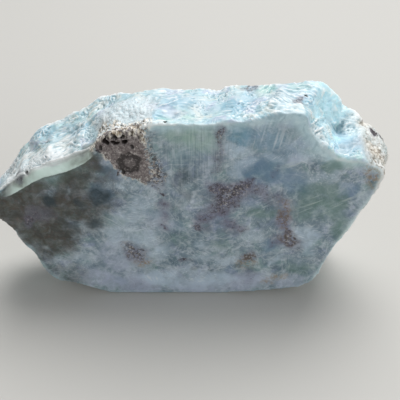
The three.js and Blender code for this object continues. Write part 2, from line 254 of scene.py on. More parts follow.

# Markings on the sawn face, of each mineral, some of which also carry painted shade or light: x, z, half its
# width, half its height, how strong and, if it is turned, by how many degrees.
FACE_MARKS = {
    "slate_and_shade": [
        (14.4, 41.6, 8, 5.2, 0.85, 8), (22.4, 37.6, 6, 3.6, 0.7, -30), (18, 18.3, 3.6, 2.8, 0.7),
        (-23.6, 34.8, 3.6, 3.6, 1), (-1.8, 44.8, 6, 4, 0.5), (-21.4, 40.4, 3.4, 4, 0.8, 30),
        (17.5, 46.4, 5, 2.4, 0.5), (10, 46, 7, 3, 0.25), (12, 50.4, 6, 3.6, 0.4), (18, 51, 4, 3, 0.3),
        (-22, 5.4, 3, 2, 0.7, -10), (-15.4, 7.6, 2, 1.6, 0.5), (-4.4, 3, 1.6, 1.4, 0.5),
        (7.4, 10, 2.6, 1.6, 0.45, 20), (-11.6, 28.6, 3, 1.6, 0.4), (-5, 24.4, 3, 2, 0.4, -20),
        (12.6, 31.6, 2.4, 1.8, 0.4), (35, 36, 3.4, 3, 0.6),
    ],
    "blue_and_shade": [(8.9, 50.6, 3, 3.8, 0.75), (15.4, 50.4, 5, 4, 0.5), (22.4, 47.4, 4, 3.4, 0.35)],
    "teal": [
        (-24, 34.4, 2.9, 3.3, 1), (-35.6, 32.8, 2, 2.2, 1), (-36.8, 31.4, 1.2, 1, 0.6),
        (-28.8, 31.4, 2, 2.6, 0.75, 30), (-26, 25, 2.4, 1.8, 0.7), (-31, 24.2, 3, 1.4, 0.5),
        (-30.8, 25.5, 3.4, 0.7, 0.6), (-19.8, 31.2, 1.8, 1.2, 0.45), (-3, 12.8, 1.6, 0.8, 0.6, 10),
        (-1.2, 9.8, 1.6, 1.2, 0.6), (-4.4, 38.4, 3, 4, 0.5), (-5.8, 31, 2.6, 2, 0.3),
        (-1.6, 42.6, 4.4, 5, 0.3), (-3.2, 34, 2.2, 2, 0.5),
    ],
    # green; the marks along the bevel's foot at the left also paint its shadow line
    "green_and_shade": [
        (-33.2, 39.4, 7, 2.6, 0.8, 12), (-37.3, 36.8, 2, 1, 0.9), (-20.8, 26.3, 4, 2.6, 0.5),
        (-2.6, 50.6, 4.6, 2.4, 0.35), (30.1, 42.6, 3, 2.2, 0.9), (27.8, 34.8, 6.6, 4.6, 0.9, 20),
        (25.1, 29.5, 6, 3.8, 0.7, 20), (31.8, 31, 4.6, 6, 0.85, 20), (35.1, 23.5, 3, 5, 0.9, 25),
        (26, 9.8, 5, 2.6, 0.7), (4.8, 18.9, 3.4, 2.4, 0.6), (15.8, 28.6, 5, 2.4, 0.7), (-5.2, 20, 4, 3, 0.4),
    ],
    "pale": [
        (-4.6, 51.6, 6, 3, 0.6, 10), (0.6, 50.4, 5, 5, 0.6), (-4, 47, 4, 5, 0.3),
        (33, 44, 3.4, 2.2, 0.6, -20), (-30, 40.6, 6, 1.6, 0.5, 22),
    ],
    # dark greenish grey, and partly painted shade on the left of the face and at its lower left
    "olive_and_shade": [
        (-44.2, 31, 10, 7, 1, -20), (-37.2, 22, 7, 9, 0.95, 30), (-32.2, 31, 7, 6, 0.9),
        (-29.2, 39, 6, 4, 0.7, 30), (-24.6, 44.4, 3, 3.4, 0.8, 30), (-22, 39.8, 4, 4, 0.55, 30),
        (-39.6, 36.6, 5.4, 2.6, 0.8, 15), (-33, 8, 5, 5, 0.35), (-26.2, 30, 5, 7, 0.6), (-28, 23, 4, 3, 0.3),
        (-20.6, 33, 4, 4, 0.3),
    ],
    "white_and_light": [
        (-9.4, 16, 2.2, 4, 0.6), (0, 18.6, 2.4, 2, 0.5), (-9, 4.6, 3, 2.4, 0.7), (27.6, 16, 3, 2, 0.5),
        (-17.4, 27.4, 6, 3.4, 0.55, 30), (-20.8, 20.8, 3, 4, 0.5, 20), (10.6, 43.6, 3.4, 1.6, 0.6, 20),
        (16.6, 45.4, 4, 1.4, 0.5, -30), (-12.4, 15.4, 3.4, 1.4, 0.6, 40), (6.2, 12, 5, 1.2, 0.5, 20),
        (19, 12.6, 4, 1.2, 0.6, 40), (-14.2, 21, 5, 4, 0.6), (8.1, 46.8, 3.6, 2, 0.85), (7.8, 41, 2, 2, 0.5),
        (15.8, 51, 6, 3.4, 0.25), (22.8, 46.4, 5, 4, 0.5), (28.8, 40, 5, 2, 0.5, 10),
        (26.6, 20.6, 4.6, 4.6, 0.75), (-10.1, 6.4, 7, 2.6, 1), (4, 6.2, 7, 2.8, 0.8), (-3, 9.6, 5, 2, 0.4),
        (-3, 4, 8, 3, 0.55), (-13.2, 32, 4, 3, 0.5), (-19.6, 37.6, 4, 1.6, 0.5, -30), (-30.2, 12, 3, 5, 0.4),
        (1.8, 14, 5, 2, 0.4), (12.8, 22, 3, 3, 0.4),
    ],
    "lavender": [
        (-26, 6, 7, 4, 1, -20), (-15.6, 4, 7, 5, 0.9, 10), (-6, 7, 5, 3.4, 0.5), (-21, 10.6, 4, 3, 0.6),
        (-1, 3, 8, 3.4, 0.9), (12, 5, 8, 4, 0.8, 10), (24, 5, 6, 3, 0.6), (-20.2, 15, 9, 6, 0.6),
        (-9.2, 26, 5, 4, 0.5), (1.8, 40, 3, 6, 0.5), (22.4, 44.9, 3, 2, 0.6),
    ],
    "mauve": [
        (7.4, 35, 7.4, 4.4, 0.9, 12), (4, 29.6, 5.4, 3, 0.8, 20), (1, 25.6, 3, 3.4, 0.6, -30),
        (7.6, 24.6, 3.6, 3, 0.6, -20), (16.6, 34, 4.4, 2.6, 0.45, -20), (20.8, 27, 3, 7, 0.7, 5),
        (21.6, 20, 4.6, 3.6, 0.8), (4.2, 47, 2.2, 7, 0.35, 2), (-8.8, 29, 2, 6, 0.6),
        (-16, 14.6, 4.6, 4, 0.5, -40), (12.4, 8, 3, 2.4, 0.5),
    ],
    "brown": [
        (3.5, 36.5, 2, 2.6, 1), (6.3, 36, 2.8, 2, 1), (8.7, 35, 2.4, 2.2, 1), (11.3, 37.4, 2.8, 2, 1, 30),
        (14.1, 36, 1.9, 1.6, 0.7, -40), (5.2, 33.4, 3, 2.2, 0.9), (1.4, 37.6, 1.6, 2, 0.5),
        (9.4, 37.6, 2, 1.2, 0.6), (8.2, 32.2, 2.4, 2.1, 0.9, 20), (4.4, 31, 2.4, 1.6, 0.8),
        (4.3, 29.2, 3.4, 1.5, 0.8, 5), (1.2, 27.2, 1.9, 2, 0.8, -30), (-0.4, 24.4, 1.4, 1.6, 0.7, -35),
        (6.4, 26.4, 1.4, 1.6, 0.45, -30), (8.8, 24.2, 2.8, 2.2, 0.75, -30), (4.6, 52.2, 1.7, 2, 1, 5),
        (4.4, 48.2, 1.1, 3.4, 0.55), (3.9, 42.8, 1.2, 3.4, 0.6, 3), (16, 33.8, 2.8, 1.6, 0.5, -30),
        (19.2, 34.2, 2, 2.4, 0.5), (20.2, 30, 1.6, 3.4, 0.7, 5), (20.9, 26.4, 2.2, 2.6, 0.85),
        (22.2, 22.6, 2.4, 2.4, 1, 30), (22.4, 19.4, 2.6, 2.1, 1), (18.8, 18.4, 2.2, 1.2, 0.6),
        (12.5, 13.9, 2.8, 2.8, 0.85), (12.5, 5, 2.4, 1.8, 0.45), (17.6, 41.4, 1.6, 2.4, 0.5, -20),
        (-17, 3.4, 3, 1.6, 0.35), (24.6, 16, 1.6, 2.1, 0.5), (-16.8, 15.6, 3.6, 3.4, 0.65, -40),
        (-8.4, 34.6, 0.9, 0.9, 1), (-9.4, 36.6, 1.8, 2.3, 0.6), (-8.8, 31.4, 1.3, 1.8, 0.7),
        (-8.8, 23.7, 0.8, 1.6, 1, 15), (-9, 27.4, 0.8, 1.3, 0.6), (-0.5, 24, 0.8, 0.8, 1),
        (-4.2, 13.2, 1.6, 0.7, 1, 10), (31.1, 13.4, 3.9, 1.6, 0.35, 20), (-41.9, 26.3, 1.8, 2, 1),
        (-38, 29, 5, 3, 0.4, -20), (-40.2, 28, 3.9, 2.6, 0.5), (-10.6, 39.6, 2.6, 3.1, 0.9, -20),
        (39.6, 40.8, 1.5, 1.8, 0.4), (41, 38, 0.8, 2, 0.4, 15),
    ],
    "ochre": [
        (20.3, 30, 2, 4, 0.7, 5), (20.9, 26, 1.7, 3, 1), (22, 20.6, 2.8, 2.6, 0.8), (12.3, 13, 2.6, 3, 0.8),
        (20.8, 6.8, 3.4, 1.2, 0.6), (17.8, 4.8, 1.8, 1, 0.6), (40.4, 40, 2.6, 4.4, 0.7, 25),
        (-14.4, 12.2, 2.8, 1.6, 1, 5), (-17.2, 15.6, 1.6, 1.4, 0.5),
    ],
    "sawmarks": [(-1.2, 45.5, 12, 9, 1), (-0.2, 34, 10, 8, 0.5)],
    "spot": [
        (-8.8, 23.7, 0.6, 1.1, 0.8, 15), (-8.3, 34.5, 0.8, 0.7, 0.8), (-8.6, 31.6, 0.7, 0.9, 0.6),
        (-4.1, 13.3, 1.3, 0.4, 1, 5), (-41.6, 26.2, 0.8, 0.6, 1), (24.2, 20.8, 0.7, 0.7, 0.9),
        (-22.6, 47.2, 0.7, 0.5, 1, -50), (-18.6, 40.7, 0.9, 0.4, 1, -30), (4.3, 28.9, 2.4, 0.8, 0.55, 5),
        (1, 26.8, 0.8, 1, 0.5, -30), (-0.8, 23.6, 0.9, 0.8, 0.7), (8.8, 23.2, 1.4, 1.1, 0.35),
        (6, 35.6, 1.6, 0.7, 0.6, 10), (11.2, 37, 1.3, 0.6, 0.6, 40), (17.6, 42, 0.9, 1, 0.5),
    ],
    "speckle": [
        (-16.8, 16, 4, 2.6, 0.75, -45), (12.5, 13.8, 2.2, 2.2, 0.5), (4.6, 51, 0.9, 1.8, 0.6),
        (22.4, 20.8, 2.4, 2.8, 0.5), (7.6, 34.6, 6, 3.2, 0.4, 20), (4.2, 49, 1.2, 4, 0.3),
        (-10.8, 43.6, 2.2, 3.6, 1, 10), (-10, 39.8, 2.4, 2.6, 1), (-11.4, 49, 1.2, 4, 0.8),
        (-13.2, 38.6, 2.4, 1.3, 1, -20),
    ],
    "fibres": [(15.4, 51, 5, 4.4, 1)],
    "needles": [
        (31, 33.4, 8, 4, 1, 27), (26, 27.4, 6, 3, 0.7, 20), (24, 43.4, 6, 1.6, 0.8, 5),
        (14, 27.4, 6, 2.6, 0.7, -10),
    ],
}
FACE_MARK_DEPTH = 1.6  # a marking runs this far into the stone

# Markings of the broken top, the ends and the weathered back, some of which also carry painted shade or
# light:
# x, y, z, reach and how strong.
ROUGH_MARKS = {
    # blue; the marks at the top right and low in the scoop are painted shade
    "blue_and_shade": [
        (-4.6, 9.8, 54.5, 4.5, 0.8), (-9.8, 2.6, 54.1, 2.2, 1), (8.1, 6.1, 54.5, 4, 0.8),
        (11.4, 10.2, 55, 2.6, 1), (-37.2, 13.1, 44, 3, 0.7), (-27.6, 8, 47.9, 2.6, 0.8),
        (-47.2, 8.1, 34, 3, 0.5), (24, 7.5, 55, 4, 0.6), (34.3, 4.4, 45.2, 3.6, 1), (30.6, 3, 47.4, 2.4, 0.7),
        (36.4, 5, 44.6, 3, 0.4), (18, 6, 57, 5, 0.65), (15, 26, 41, 7, 0.9), (9, 27, 35, 6, 0.8),
        (20, 25, 33, 4, 0.7), (-12, 28, 18, 6, 0.8), (-17, 27, 24, 4, 0.7), (-34, 20, 34, 5, 0.7),
        (30, 22, 10, 6, 0.6), (2, 28, 6, 6, 0.6),
    ],
    # green; the marks in the scoop at the right are painted shade
    "green_and_shade": [
        (-7.8, 2.1, 54.2, 2, 0.5), (-2.6, 3.4, 53.7, 3, 0.4), (15.8, 12.6, 55.6, 3, 0.6),
        (32.4, 12, 48.3, 2.4, 0.4), (33.2, 10.3, 45.5, 2, 0.7), (21.8, 12.1, 56, 3, 0.4),
        (25.8, 24, 16, 9, 0.7), (-40.2, 20, 30, 8, 0.6),
    ],
    "ochre": [
        (-3.4, 4.6, 53.8, 3, 0.12), (-37.3, 8.5, 41.8, 2, 0.3), (-38, 11, 42, 8, 0.2), (-46, 8, 35, 6, 0.18),
        (-29, 12, 47, 6, 0.1), (-30.7, 15, 46.5, 2, 0.4), (38.5, 6.1, 44.7, 2, 0.2),
        (41, 4.2, 43.4, 2.4, 0.35), (-2.2, 28, 34, 8, 0.6), (6, 27, 27, 5, 0.5), (-38.2, 22, 16, 8, 0.7),
        (38, 16, 24, 6, 0.4),
    ],
    "teal": [(-42, 1, 38, 3.4, 0.12)],
    "lavender": [(-31, 9, 46, 4, 0.3), (2, 8, 54.5, 4, 0.3)],
    "spot": [
        (41.8, 11, 44.7, 1.8, 0.9), (44.2, 13.4, 42.2, 1.6, 1), (12.4, 13.4, 55.4, 0.6, 0.8),
        (21.6, 5.6, 57, 0.6, 0.8),
    ],
    "dull": [
        (-30.6, 0.9, 43.3, 2.8, 0.3), (-28, 1, 44.4, 2.6, 0.6), (-40, 0.9, 39.6, 2.4, 0.6),
        (-36.6, 0.6, 40.4, 2.2, 0.25), (-26.4, 1.2, 45.2, 2.6, 0.9), (-24.6, 1, 46.6, 2.6, 1),
        (-42.6, 1.4, 38.2, 2.6, 0.9), (-45.4, 0.8, 36.6, 2.4, 0.6),
    ],
    "brown": [
        (-42.2, 1.8, 38.8, 2, 0.7), (-27.4, 1.4, 44.8, 1.4, 0.4), (21.9, 5, 56.9, 2.2, 0.9),
        (23.4, 7.6, 56.4, 1.4, 0.8), (22.8, 6.8, 56.6, 1.4, 0.7), (11.9, 13.7, 55.1, 2.2, 0.8),
        (41.5, 10.3, 44.9, 1.4, 0.7), (43.7, 12.7, 42.7, 1.2, 0.7), (39.8, 14, 46.8, 1, 0.5),
    ],
    # partly painted shade along the lower left edge
    "olive_and_shade": [
        (-46.8, 0.6, 27, 3.6, 0.8), (-43.8, 0.6, 21, 3.6, 0.7), (-40.8, 0.6, 15, 3.4, 0.45),
        (-38.6, 0.6, 9.6, 3.4, 0.35), (-35, 0.6, 4.4, 3.4, 0.25),
    ],
    # white; on the left slope these marks are painted light
    "white_and_light": [
        (-47.4, 10, 35, 4, 0.8), (-45.4, 4, 37.4, 4.4, 0.9), (-41.6, 8, 40.4, 3.4, 0.6),
        (-31, 6, 45.4, 6, 0.3), (-38.6, 3.4, 41.4, 3.4, 0.9), (-35, 2.8, 42.8, 3, 0.9),
        (-31.4, 2.8, 43.8, 3, 0.8),
    ],
    "crystals": [(38, 6, 44.6, 4, 0.7), (-19.6, 6.4, 51.4, 5.6, 1), (-14.4, 6.6, 53.4, 5.4, 0.9)],
    # frosted break, and painted light that lightens the shaded scoop at the right
    "frosted_and_lit": [
        (27, 9, 51.6, 4.4, 1), (30.6, 13, 48.6, 3, 0.7), (29, 4, 47.4, 2, 0.6), (33.4, 7, 46, 3.4, 0.7),
        (41, 10, 44.6, 3.4, 0.6), (29.4, 13, 53.6, 4.4, 1), (32.2, 13.8, 50.6, 4.4, 1),
    ],
    # slate blue on the broken top: painted shade in the scoop and on the top
    "slate_and_shade": [
        (19, 9, 56.6, 4, 0.3), (-8, 9, 54, 4, 0.15), (35, 6.6, 45.2, 3, 0.3), (33.4, 9.6, 45.4, 2.2, 0.7),
        (34.6, 3.8, 45, 3.8, 0.4), (38.6, 3, 43.8, 2.4, 0.3), (14, 8, 55.4, 3.4, 0.2), (6, 6, 54.6, 5, 0.16),
        (-4, 9, 54.4, 7, 0.22),
    ],
    "stain": [
        (-26.2, 26, 30, 12, 0.9), (7.8, 28, 12, 10, 0.9), (33.8, 20, 30, 8, 0.8), (-4.2, 27, 46, 7, 0.7),
    ],
}


# How far the edge of a thing strays, and over what size, one step after another.
STRAYS = {
    "marks": [(1.1, 3.6), (0.45, 1.3)],
    "basalt": [(0.5, 1.4), (0.3, 0.7)],
    "fans": [(0.8, 2.5)],
    "lines": [(0.4, 1.5)],
}
AXIS_SHIFTS = (0.2, 17.3, 41.9)  # make a place stray differently along x, y and z
MARK_EDGE = (1.3, 0.4)  # where a marking starts and is full, in its reaches


def strayed(places, kind):
    """The places, each moved at random, so that what is round or straight gets a ragged edge."""
    for far, size in STRAYS[kind]:
        steps = [bumps(places, size, shift) for shift in AXIS_SHIFTS]
        places = places + far * np.stack(steps, axis=1)
    return places


def mineral_shares(places):
    """How much of each mineral shows at each place, 0 to 1; some minerals also carry painted shade or light.
    """
    moved = strayed(places, "marks")
    missing = {}

    def grow(mineral, offsets, strength):
        shown = strength * ramp(np.linalg.norm(offsets, axis=1), *MARK_EDGE)
        missing[mineral] = missing.get(mineral, 1) * (1 - shown)

    for mineral, marks in FACE_MARKS.items():
        for x, z, wide, high, strength, *turn in marks:
            right, back, up = (moved - (x, 0, z)).T
            turn = math.radians(sum(turn))
            along = right * math.cos(turn) + up * math.sin(turn)
            across = up * math.cos(turn) - right * math.sin(turn)
            offsets = np.stack([along / wide, back / FACE_MARK_DEPTH, across / high], axis=1)
            grow(mineral, offsets, strength)
    for mineral, marks in ROUGH_MARKS.items():
        for x, y, z, reach, strength in marks:
            grow(mineral, (moved - (x, y, z)) / reach, strength)
    return {mineral: 1 - left for mineral, left in missing.items()}


def outline_distance(places, outline):
    """How far each place lies outside a closed outline of x and z, negative inside it."""
    x, _, z = places.T
    nearest = np.full(len(places), np.inf)
    inside = np.zeros(len(places), bool)
    for (ax, az), (bx, bz) in zip(outline, outline[1:] + outline[:1]):
        run, rise = bx - ax, bz - az
        share = np.clip(((x - ax) * run + (z - az) * rise) / (run * run + rise * rise), 0, 1)
        nearest = np.minimum(nearest, np.hypot(x - ax - share * run, z - az - share * rise))
        if rise:
            inside ^= ((az > z) != (bz > z)) & (x < run * (z - az) / rise + ax)
    return np.where(inside, -nearest, nearest)


def segment_distance(places, start, end):
    """The distance of each place from a straight segment."""
    start, run = np.array(start), np.subtract(end, start)
    share = np.clip((places - start) @ run / (run @ run), 0, 1)
    return np.linalg.norm(places - start - share[:, None] * run, axis=1)


# -------- the stone's surface
def read(collection, name, width, kind=float):
    """One property of every vertex or edge as an array."""
    values = np.zeros(len(collection) * width, kind)
    collection.foreach_get(name, values)
    return values.reshape(-1, width)


def mesh_places(mesh):
    """Every vertex's place in millimetres."""
    return read(mesh.vertices, "co", 3) / MM - ORIGIN


def set_places(mesh, places):
    """Moves the mesh's vertices to these places and gives its new normals."""
    mesh.vertices.foreach_set("co", ((places + ORIGIN) * MM).ravel())
    mesh.update()
    return read(mesh.vertex_normals, "vector", 3)


def fine_copy(node):
    """A copy of the solid's surface as small squares, and smaller ones where it is broken or holds basalt."""
    stone = bpy.data.objects.new("raw_larimar", node.data.copy())
    bpy.context.scene.collection.objects.link(stone)
    stone.data.materials.clear()
    remesh = stone.modifiers.new("fine", "REMESH")
    remesh.mode = "VOXEL"
    remesh.voxel_size = VOXEL * MM
    remesh.use_smooth_shade = True
    bpy.context.view_layer.update()
    shape = stone.evaluated_get(bpy.context.evaluated_depsgraph_get())
    stone.data = bpy.data.meshes.new_from_object(shape)
    stone.modifiers.clear()

    places = mesh_places(stone.data)
    x, depth, z = places.T
    _, back, up = read(stone.data.vertex_normals, "vector", 3).T
    broken = (up > FINE["up"]) & (depth > 0)
    crusted = (x > CRUST["x"][0]) & (depth > FINE["crust depth"])
    basalt = (outline_distance(places, BASALT_OUTLINE) < FINE["around"]) & (depth < FINE["basalt depth"])
    fine = (broken | crusted) & (back < FINE["back"]) & (z > BROKEN_FROM) | basalt
    mesh = bmesh.new()
    mesh.from_mesh(stone.data)
    edges = [edge for edge in mesh.edges if all(fine[vertex.index] for vertex in edge.verts)]
    bmesh.ops.subdivide_edges(mesh, edges=edges, cuts=1, use_grid_fill=True)
    bmesh.ops.triangulate(mesh, faces=mesh.faces)
    mesh.to_mesh(stone.data)
    mesh.free()
    return stone


def neighbour_mean(values, edges):
    """For each vertex the mean of its neighbours' rows of values."""
    ends = np.concatenate([edges, edges[:, ::-1]])
    count = np.bincount(ends[:, 0], minlength=len(values))
    columns = [np.bincount(ends[:, 0], column[ends[:, 1]], len(values)) / count for column in values.T]
    return np.stack(columns, axis=1)


def melted(mesh, edges):
    """The vertices' places with the facets melted, and which of them lie on the sawn face."""
    places = mesh_places(mesh)
    _, depth, z = places.T
    _, back, up = read(mesh.vertex_normals, "vector", 3).T
    sawn = (depth < FLATS["within"]) & (back < FLATS["square"])
    resting = (z < FLATS["within"]) & (up < FLATS["square"])
    in_basalt = outline_distance(places, BASALT_OUTLINE) < FILLED["around"]
    sawn |= in_basalt & (depth < FILLED["depth"]) & (up < FILLED["up"])
    places[sawn, 1] = 0
    places[resting, 2] = 0
    loose = np.ones(places.shape)
    for axis in (1, 2):
        loose[:, axis] = ramp(places[:, axis], 0, FLATS["free"])
    for _ in range(ROUNDING["rounds"]):
        places += loose * ROUNDING["share"] * (neighbour_mean(places, edges) - places)
    return places, sawn


def fans(places):
    """The fan of each place: its number, the offset from where its fibres meet, how far its root is and how
    much farther the next fan's root is."""
    margin = FANS["margin"]
    roots = chance.uniform(LOW - ORIGIN - margin, HIGH - ORIGIN + margin, (FANS["count"], 3))
    moved = strayed(places, "fans")
    nearest, second = np.full((2, len(places)), np.inf)
    number = np.zeros(len(places), int)
    for i, root in enumerate(roots):
        distance = np.linalg.norm(moved - root, axis=1)
        closer = distance < nearest
        second = np.where(closer, nearest, np.minimum(second, distance))
        nearest[closer] = distance[closer]
        number[closer] = i
    meets = roots + chance.normal(size=roots.shape) * LEAN
    return number, places - meets[number], nearest, second - nearest


def fibre_grid(number, offsets, across, length):
    """Coordinates that run along each fan's fibres, with across fibres to each radian, each so long."""
    distance = np.linalg.norm(offsets, axis=1, keepdims=True)
    return offsets / distance * across + distance / length + number[:, None] * FAN_SHIFT


def splinters(number, offsets, height, across, length):
    """Sharp ridges that run out from each fan's root."""
    hills = bumps(fibre_grid(number, offsets, across, length), 1)
    return height * (SHARP["crest"] - SHARP["fall"] * np.abs(hills))


def ledges(places, height, size, steps, riser):
    """Small flat steps with steep risers."""
    level = steps * bumps(places, size)
    return height * (np.floor(level) + 0.5 + ramp(level % 1, *riser))


def grown(places, height, size):
    """Grains that stand half above the surface."""
    return height * (grains(places, size) - 0.5)


def marked(places, marks):
    """The most that any of these lines gives each place: two ends, half-width and height."""
    moved = strayed(places, "lines")
    most = np.zeros(len(places))
    for start, end, width, height in marks:
        most = np.maximum(most, height * ramp(segment_distance(moved, start, end), width, 0))
    return most


def weathering(places, facing, depth):
    """How much of the right end's crust, of any rind and of coarse rind each place has."""
    x, _, z = places.T
    crust = ramp(x + bumps(places, CRUST["ragged"]), *CRUST["x"]) * ramp(depth, *DEPTHS["crust"])
    rind = np.maximum(crust, ramp(facing[:, 1], *RIND_FACING) * ramp(depth, *DEPTHS["rind"]))
    patches = ramp(bumps(places, RIND_PATCH["size"], RIND_PATCH["shift"]), *RIND_PATCH["levels"])
    return crust, rind, np.maximum(crust * ramp(z, *CRUST["coarse z"]), patches)


def broken_height(places, shares, number, offsets, nearest, inward):
    """How high the broken surface stands: fans with their splinters, lumps, ledges and crystals."""
    height = FANS["height"] * (np.minimum((nearest / FANS["radius"]) ** 2, FANS["rise"]) - 0.5)
    height += ramp(inward, *SEAM["splinters"]) * sum(splinters(number, offsets, **kind) for kind in SPLINTERS)
    height += LUMPS["height"] * bumps(places, LUMPS["size"]) + GRAIN["height"] * bumps(places, GRAIN["size"])
    height += ledges(places, **LEDGES)
    height *= 1 - FROSTED_FLATTER * shares["frosted_and_lit"]
    return height + shares["crystals"] * (grown(places, **CRYSTALS) - height)


def rind_height(places, crust, coarse):
    """How high the weathered rind stands: grains, and the back's long swells."""
    rough = (RIND_WORN + (1 - RIND_WORN) * coarse) * (grown(places, **RIND) + grown(places, **RIND_GRAIN))
    return rough + (1 - crust) * sum(height * bumps(places, size) for height, size in RIND_SWELLS)


def bevelled(places, depth):
    """How much of the bevel, of the lip above it and of its mint strip each place has."""
    far, size = BEVEL["stray"]
    strip = depth + far * bumps(places, size)
    x, _, z = places.T
    along = ramp(x, *BEVEL["x"]) * ramp(z, *BEVEL["z"])
    bevel = along * ramp(strip, BEVEL["depth"] + BEVEL["soft"], BEVEL["depth"])
    lip = along * ramp(np.abs(strip - BEVEL["depth"] - LIP["above"]), LIP["width"], 0)
    return bevel, lip, bevel * ramp(strip, *BEVEL["mint"])


def ragged(places, much, size):
    """A number near 1 for each place, which makes round things ragged."""
    return 1 + much * bumps(places, size)


def cut_basalt(places, sawn, painted_hole_shade):
    """Cuts the basalt's grain, vugs and gas bubble. Gives how far outside the basalt each place lies, and how
    much of the bubble and of a hole's painted shade it has."""
    x, depth, z = places.T
    outside = outline_distance(strayed(places, "basalt"), BASALT_OUTLINE)
    outside = np.maximum(outside, (depth - BASALT_DEPTH) * BASALT_END)
    grain = BASALT_GRAIN["height"] * (1 + bumps(places, BASALT_GRAIN["size"]))
    sink = np.where(sawn & (outside < 0), grain, 0)
    for middle_x, middle_z, radius, deep in VUGS:
        far = np.hypot(x - middle_x, (z - middle_z) / VUG["tall"])
        far *= ragged(places, *VUG["ragged"]) / radius
        sink = np.maximum(sink, deep * ramp(far, *VUG["pit"]) * sawn)
        painted_hole_shade = np.maximum(painted_hole_shade, ramp(far, *VUG["paint"]) * sawn)
    middle_x, middle_z = VESICLE["at"]
    far = np.hypot(x - middle_x, z - middle_z) / VESICLE["radius"]
    far *= ragged(places, *VESICLE["ragged"])
    ring = ramp(np.abs(far - VESICLE["ring"]), *VESICLE["ring edge"])
    ring = np.maximum(ring, VESICLE["middle"] * ramp(far, *VESICLE["middle edge"])) * sawn
    places[:, 1] += sink + VESICLE["depth"] * ring
    return outside, ring, painted_hole_shade


def blurred(values, edges, rounds):
    """The rows of values after 0, 1, 2 and so on rounds of blur."""
    blurs = [values]
    for _ in range(rounds):
        blurs.append(neighbour_mean(blurs[-1], edges))
    return blurs


def cut_relief(mesh):
    """Cuts relief into all but the sawn face and the foot, and paints onto the mesh what the material reads.
    Gives the names of what is painted."""
    edges = read(mesh.edges, "vertices", 2, np.int32)
    places, sawn = melted(mesh, edges)
    depth = places[:, 1].copy()
    shares = mineral_shares(places)
    for centre, reach, shift in EDGE_SHIFTS:
        places += ramp(np.linalg.norm(places - centre, axis=1), reach, 0)[:, None] * shift
    facing = set_places(mesh, places)

    crust, rind, coarse = weathering(places, facing, depth)
    number, offsets, nearest, inward = fans(places)
    broken = broken_height(places, shares, number, offsets, nearest, inward)
    height = broken + rind * (rind_height(places, crust, coarse) - broken)
    bevel, lip, mint = bevelled(places, depth)
    height = height * (1 - bevel) + LIP["height"] * lip + marked(places, RIDGES) - marked(places, CREASES)
    height *= ramp(depth, *DEPTHS["relief"]) * ramp(places[:, 2], *FOOT_RELIEF)
    # painted shade in pits and holes, 0 to 1
    painted_hole_shade = np.zeros(len(places))
    for centre, radius, sink in PITS:
        share = ramp(np.linalg.norm(places - centre, axis=1) / radius, *PIT_EDGE)
        height -= sink * share
        painted_hole_shade = np.maximum(painted_hole_shade, share)
    teeth = marked(places, TOOTH_LINE)
    height += teeth * ramp(depth, *DEPTHS["teeth"]) * grown(places, **TEETH)
    facing[:, 1] *= ramp(depth, *DEPTHS["forwards"])
    places += facing * height[:, None]
    outside, ring, painted_hole_shade = cut_basalt(places, sawn, painted_hole_shade)

    facing = set_places(mesh, places)
    means = blurred(places, edges, max(BLUNT.values()))
    stands = {name: np.sum((places - means[rounds]) * facing, axis=1) for name, rounds in BLUNT.items()}
    shaded = STANDS_FULL * ramp(depth, *DEPTHS["shading"])
    on_face = ramp(depth, *DEPTHS["face"])
    blurs = blurred(on_face[:, None], edges, max(GLOW.values()))
    glow = {name: blurs[rounds][:, 0] for name, rounds in GLOW.items()}
    # painted rim light: how bright the sawn face's thin edge is painted
    lit = marked(places, PAINTED_RIM_LIGHTS)
    granular = np.maximum(shares["crystals"], rind)
    painted = {
        "sawn": glow["rim"],
        # painted glow: a paler band painted just inside the sawn face's thin edge
        "painted_inner_glow": (1 - glow["edge"]) * lit,
        "tooth": teeth,
        # painted glow near the sawn face's thin edge
        "glow": marked(places, PAINTED_GLOWS),
        # pale edges, partly painted highlight, and darker hollows of painted shade, at a small and a large
        # scale
        "ridge_and_hollow_shade": stands["ridge_and_hollow_shade"] * shaded,
        "crest": stands["crest"] * shaded,
        "fan": number % FANS["tones"] / FANS["tones"],
        "within": ramp(inward, *SEAM["lines"]),
        "bevel": bevel * ramp(places[:, 0], *BEVEL["painted x"]),
        "foot": glow["foot"],
        "mint": mint,
        # painted highlight along the sawn face's thin edge and along the bevel's lip
        "rim": np.maximum(4 * glow["rim"] * (1 - glow["rim"]) * lit, lip * LIP["bright"]),
        "rind": rind,
        "coarse": coarse,
        "basalt": outside,
        "painted_hole_shade": painted_hole_shade,
        "ring": ring,
        "frost": (FROST + (1 - FROST) * granular) * (1 - SAWN_SMOOTH * on_face),
        **shares,
    }
    for name, values in painted.items():
        layer = mesh.attributes.new(name, "FLOAT", "POINT")
        layer.data.foreach_set("value", values.astype(np.float32))
    fibre = mesh.attributes.new("fibre", "FLOAT_VECTOR", "POINT")
    fibre.data.foreach_set("vector", fibre_grid(number, offsets, **STREAKS).astype(np.float32).ravel())
    return list(painted)


# -------- material
def linear(hex_colour):
    """An sRGB hex colour as linear red, green, blue and alpha."""
    shares = [int(hex_colour[i : i + 2], 16) / 255 for i in (1, 3, 5)]
    return [c / 12.92 if c <= 0.04045 else ((c + 0.055) / 1.055) ** 2.4 for c in shares] + [1]


